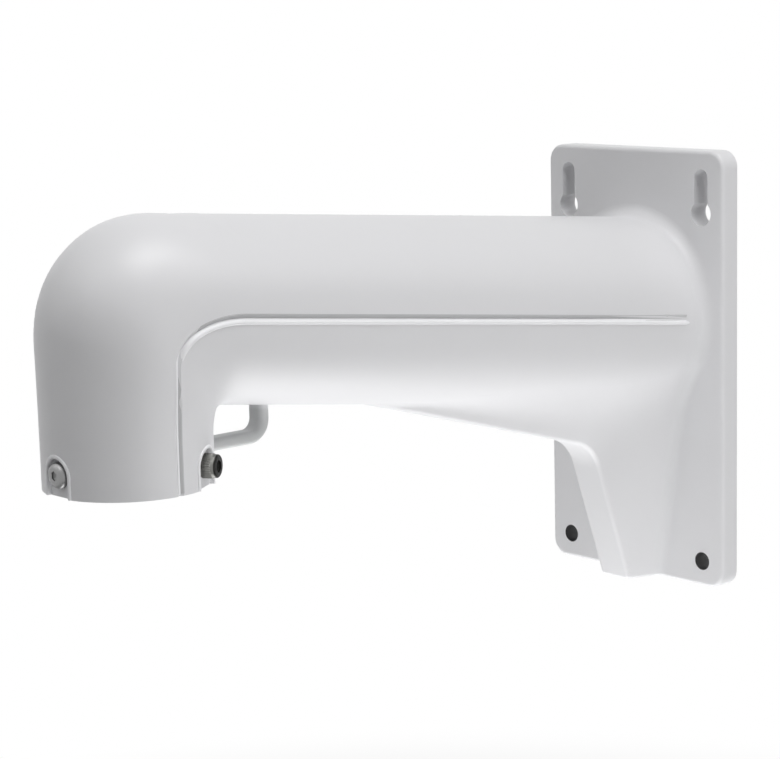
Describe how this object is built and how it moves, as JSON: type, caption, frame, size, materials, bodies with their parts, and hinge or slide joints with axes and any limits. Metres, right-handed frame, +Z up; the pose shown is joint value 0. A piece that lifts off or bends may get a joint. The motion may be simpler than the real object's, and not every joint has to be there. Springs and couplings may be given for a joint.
{
  "type": "camera wall bracket",
  "caption": "Cast aluminium wall bracket with a tubular arm, a downward socket for a dome camera, a ribbed underside and a flat wall plate with keyholes.",
  "frame": {"origin": "in the plane of the wall, midway between the two lower wall screws", "axes": "+X out of the wall along the arm's reach, +Z up towards the keyholes, +Y to the arm's left seen from the wall, so Y is even about the middle plane"},
  "size_m": [0.3058, 0.097, 0.1826],
  "materials": {
    "painted_casting": "satin powder coat",
    "screw_steel": "satin"
  },
  "bodies": {
    "root": {"bracket_casting": "painted_casting", "front_button_screw": "screw_steel", "side_cap_screws": "screw_steel"}
  },
  "joints": []
}
